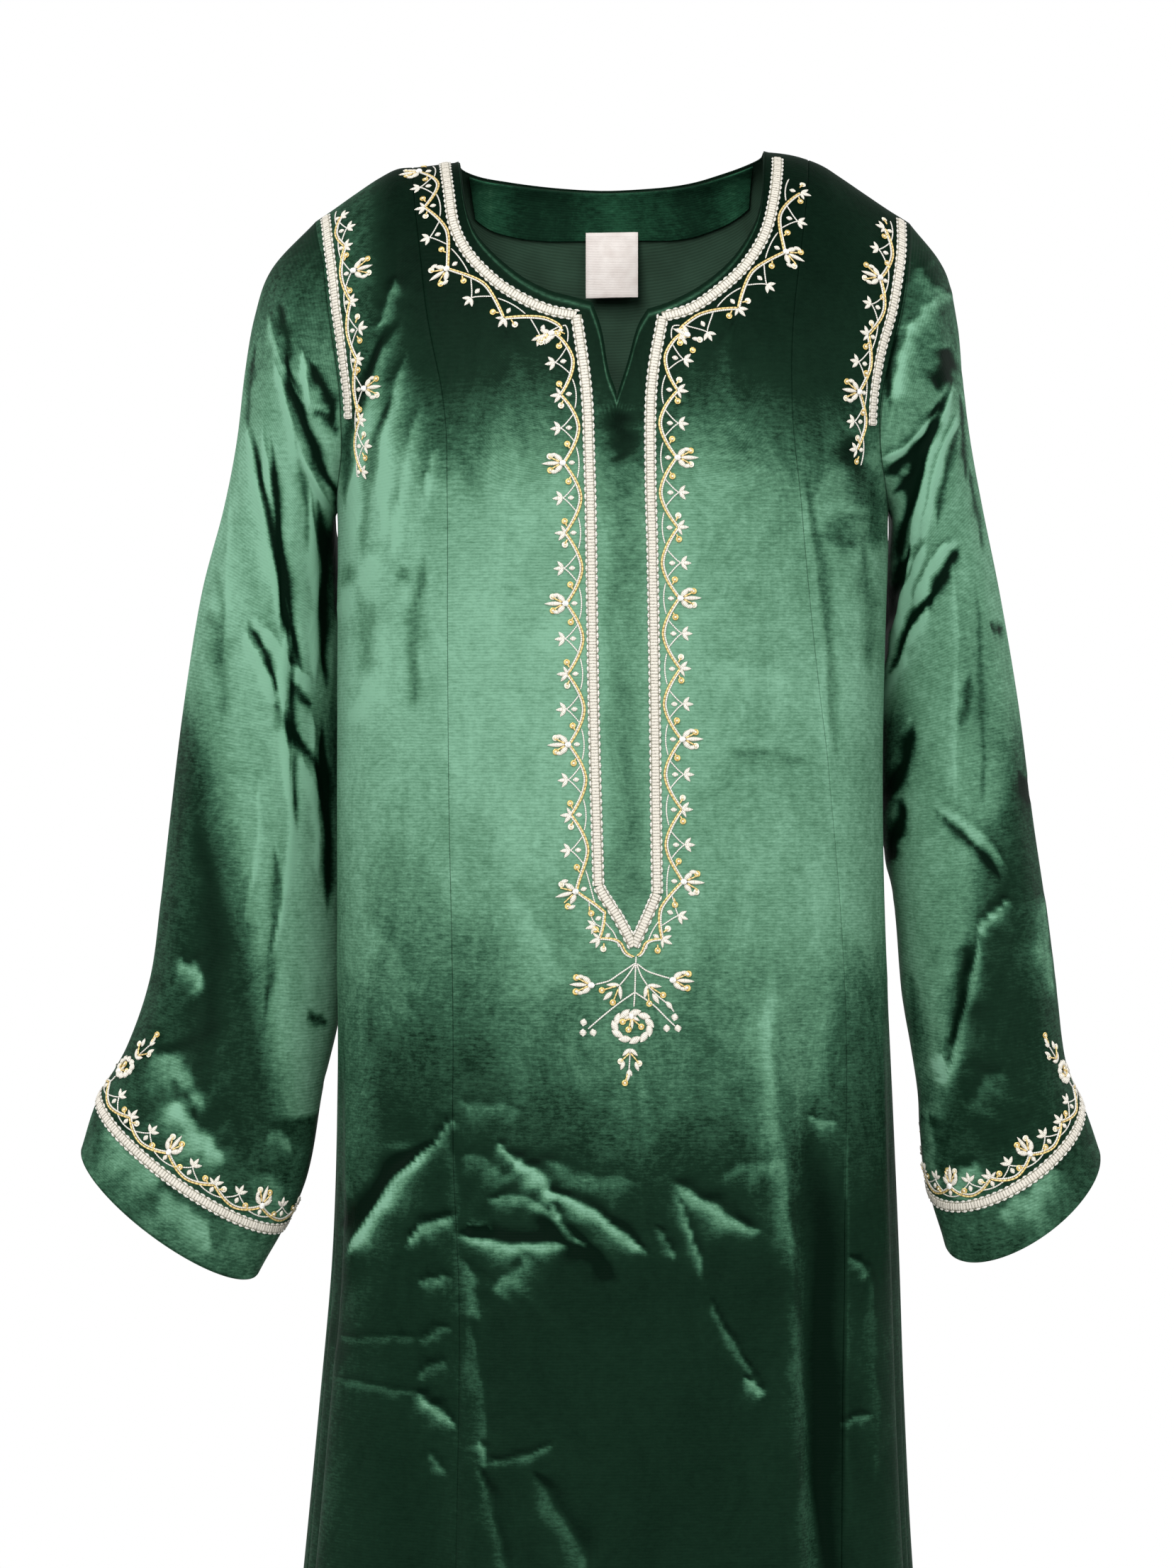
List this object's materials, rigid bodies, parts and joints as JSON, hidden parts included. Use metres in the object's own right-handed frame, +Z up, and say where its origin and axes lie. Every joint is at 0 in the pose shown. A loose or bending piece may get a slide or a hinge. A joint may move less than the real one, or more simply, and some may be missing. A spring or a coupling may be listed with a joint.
{
  "type": "kaftan",
  "caption": "Child's long A-line velvet kaftan with a round slit neck, wide sleeves with slanted cuffs, and braid on the neck, placket, armholes and cuffs.",
  "frame": {"origin": "midway between the two points where the neckline meets a shoulder, where the kaftan hangs on its wearer", "axes": "+Z up, the front faces -Y, +X to the right of a viewer in front of it"},
  "size_m": [0.5963, 0.324, 1.2244],
  "materials": {
    "silk_velvet": "lustrous pile",
    "velvet_facing": "lustrous pile",
    "silver_cream_braid": "satin",
    "label_satin": "satin"
  },
  "bodies": {
    "root": {"centre_front": "silk_velvet", "left_side_front": "silk_velvet", "right_side_front": "silk_velvet", "back": "silk_velvet", "left_sleeve": "silk_velvet", "right_sleeve": "silk_velvet", "back_neck_facing": "velvet_facing", "neck_placket_braid": "silver_cream_braid", "left_armhole_braid": "silver_cream_braid", "right_armhole_braid": "silver_cream_braid", "left_cuff_braid": "silver_cream_braid", "right_cuff_braid": "silver_cream_braid", "label": "label_satin"}
  },
  "joints": []
}
